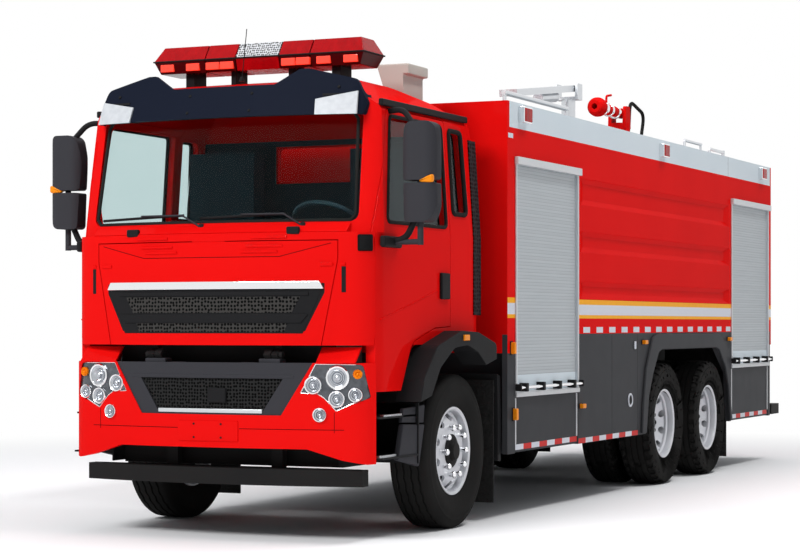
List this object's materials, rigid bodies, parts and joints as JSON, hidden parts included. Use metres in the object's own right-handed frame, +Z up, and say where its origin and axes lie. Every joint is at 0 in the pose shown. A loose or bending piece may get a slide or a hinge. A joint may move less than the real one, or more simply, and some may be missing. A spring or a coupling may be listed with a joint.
{
  "type": "fire truck",
  "caption": "Cab-over fire truck with tilting cab, roller-shutter equipment body, roof water monitor, folding lamp mast and steered, twin-tyred axles.",
  "frame": {"origin": "middle of the truck's box on the road", "axes": "+X to the truck's left side, +Y to the rear, +Z up; the truck drives towards -Y"},
  "size_m": [2.8998, 9.8, 3.6019],
  "materials": {
    "red_paint": "gloss",
    "grey_paint": "satin",
    "pale_paint": "gloss",
    "dark_plastic": "grained",
    "black_steel": "satin",
    "alloy": "satin",
    "rim_metal": "polished",
    "tyre_rubber": "matte",
    "rubber": "matte",
    "glass": "tinted",
    "lamp_glass": "clear",
    "marker_lens": "clear",
    "red_lens": "clear",
    "visor_black": "gloss",
    "cooler_shell": "satin",
    "trim": "soft",
    "cast": "rough"
  },
  "bodies": {
    "chassis": {"chassis_frame": "black_steel", "engine_block": "cast", "axles": "black_steel", "front_bumper": "red_paint", "lower_grille": "dark_plastic", "headlamps": "lamp_glass", "underrun_bar": "black_steel", "cab_steps": "dark_plastic", "mud_flaps": "rubber", "body_floor": "alloy", "water_tank": "alloy", "end_walls": "red_paint", "roof_deck": "alloy", "parapets": "pale_paint", "side_panels": "red_paint", "skirts": "grey_paint", "wheel_arches": "dark_plastic", "shutter_frames": "alloy", "roller_shutters": "alloy", "marker_lamps": "marker_lens", "rear_step": "black_steel", "rails_and_ladder": "alloy", "monitor_base": "red_paint"},
    "cab": {"cab_shell": "red_paint", "cab_glass": "glass", "sun_visor": "visor_black", "light_bar": "red_lens", "roof_cooler": "cooler_shell", "air_intake": "dark_plastic", "cab_interior": "trim", "cab_flares": "dark_plastic"},
    "front_lid": {"front_lid": "red_paint", "upper_grille": "dark_plastic"},
    "door_left": {"door_left": "red_paint", "door_glass_left": "glass", "mirror_left": "dark_plastic"},
    "door_right": {"door_right": "red_paint", "door_glass_right": "glass", "mirror_right": "dark_plastic"},
    "steer_left": {"knuckle_left": "cast"},
    "steer_right": {"knuckle_right": "cast"},
    "wheel_front_left": {"tyre_front_left": "tyre_rubber", "rim_front_left": "rim_metal"},
    "wheel_front_right": {"tyre_front_right": "tyre_rubber", "rim_front_right": "rim_metal"},
    "wheel_mid_left": {"tyres_mid_left": "tyre_rubber", "rims_mid_left": "rim_metal"},
    "wheel_mid_right": {"tyres_mid_right": "tyre_rubber", "rims_mid_right": "rim_metal"},
    "wheel_rear_left": {"tyres_rear_left": "tyre_rubber", "rims_rear_left": "rim_metal"},
    "wheel_rear_right": {"tyres_rear_right": "tyre_rubber", "rims_rear_right": "rim_metal"},
    "flap_front_left": {"flap_front_left": "grey_paint"},
    "flap_front_right": {"flap_front_right": "grey_paint"},
    "flap_rear_left": {"flap_rear_left": "grey_paint"},
    "flap_rear_right": {"flap_rear_right": "grey_paint"},
    "mast": {"mast_arm": "alloy"},
    "turret": {"monitor_turret": "red_paint"},
    "barrel": {"monitor_barrel": "red_paint"}
  },
  "joints": [
    {"name": "cab_tilt", "type": "hinge", "parent": "chassis", "child": "cab", "pos_m": [0, -4.815, 1.2], "axis": [1, 0, 0], "range_deg": [0, 50]},
    {"name": "front_lid_lift", "type": "hinge", "parent": "cab", "child": "front_lid", "pos_m": [0, -4.8923, 1.933], "axis": [-1, 0, 0], "range_deg": [0, 60]},
    {"name": "door_left_swing", "type": "hinge", "parent": "cab", "child": "door_left", "pos_m": [1.091, -4.687, 1.6], "axis": [0, 0, -1], "range_deg": [0, 70]},
    {"name": "door_right_swing", "type": "hinge", "parent": "cab", "child": "door_right", "pos_m": [-1.091, -4.687, 1.6], "axis": [0, 0, 1], "range_deg": [0, 70]},
    {"name": "steer_left_turn", "type": "hinge", "parent": "chassis", "child": "steer_left", "pos_m": [0.93, -3.5, 0.53], "axis": [0, 0, 1], "range_deg": [-32, 32]},
    {"name": "steer_right_turn", "type": "hinge", "parent": "chassis", "child": "steer_right", "pos_m": [-0.93, -3.5, 0.53], "axis": [0, 0, 1], "range_deg": [-32, 32]},
    {"name": "wheel_front_left_spin", "type": "hinge", "parent": "steer_left", "child": "wheel_front_left", "pos_m": [1.02, -3.5, 0.53], "axis": [1, 0, 0], "continuous": true},
    {"name": "wheel_front_right_spin", "type": "hinge", "parent": "steer_right", "child": "wheel_front_right", "pos_m": [-1.02, -3.5, 0.53], "axis": [1, 0, 0], "continuous": true},
    {"name": "wheel_mid_left_spin", "type": "hinge", "parent": "chassis", "child": "wheel_mid_left", "pos_m": [0.915, 1.1, 0.53], "axis": [1, 0, 0], "continuous": true},
    {"name": "wheel_mid_right_spin", "type": "hinge", "parent": "chassis", "child": "wheel_mid_right", "pos_m": [-0.915, 1.1, 0.53], "axis": [1, 0, 0], "continuous": true},
    {"name": "wheel_rear_left_spin", "type": "hinge", "parent": "chassis", "child": "wheel_rear_left", "pos_m": [0.915, 2.45, 0.53], "axis": [1, 0, 0], "continuous": true},
    {"name": "wheel_rear_right_spin", "type": "hinge", "parent": "chassis", "child": "wheel_rear_right", "pos_m": [-0.915, 2.45, 0.53], "axis": [1, 0, 0], "continuous": true},
    {"name": "flap_front_left_drop", "type": "hinge", "parent": "chassis", "child": "flap_front_left", "pos_m": [1.23, -1.96, 0.488], "axis": [0, 1, 0], "range_deg": [0, 90]},
    {"name": "flap_front_right_drop", "type": "hinge", "parent": "chassis", "child": "flap_front_right", "pos_m": [-1.23, -1.96, 0.488], "axis": [0, -1, 0], "range_deg": [0, 90]},
    {"name": "flap_rear_left_drop", "type": "hinge", "parent": "chassis", "child": "flap_rear_left", "pos_m": [1.23, 3.77, 0.488], "axis": [0, 1, 0], "range_deg": [0, 90]},
    {"name": "flap_rear_right_drop", "type": "hinge", "parent": "chassis", "child": "flap_rear_right", "pos_m": [-1.23, 3.77, 0.488], "axis": [0, -1, 0], "range_deg": [0, 90]},
    {"name": "mast_raise", "type": "hinge", "parent": "chassis", "child": "mast", "pos_m": [0.6, 0.3, 3.41], "axis": [-1, 0, 0], "range_deg": [0, 90]},
    {"name": "monitor_turn", "type": "hinge", "parent": "chassis", "child": "turret", "pos_m": [0, 3.46, 3], "axis": [0, 0, 1], "range_deg": [-170, 170]},
    {"name": "monitor_lift", "type": "hinge", "parent": "turret", "child": "barrel", "pos_m": [0, 3.46, 3.507], "axis": [-1, 0, 0], "range_deg": [-15, 75]}
  ],
  "couplings": [
    {"joint": "steer_right_turn", "follows": "steer_left_turn", "ratio": 1}
  ]
}
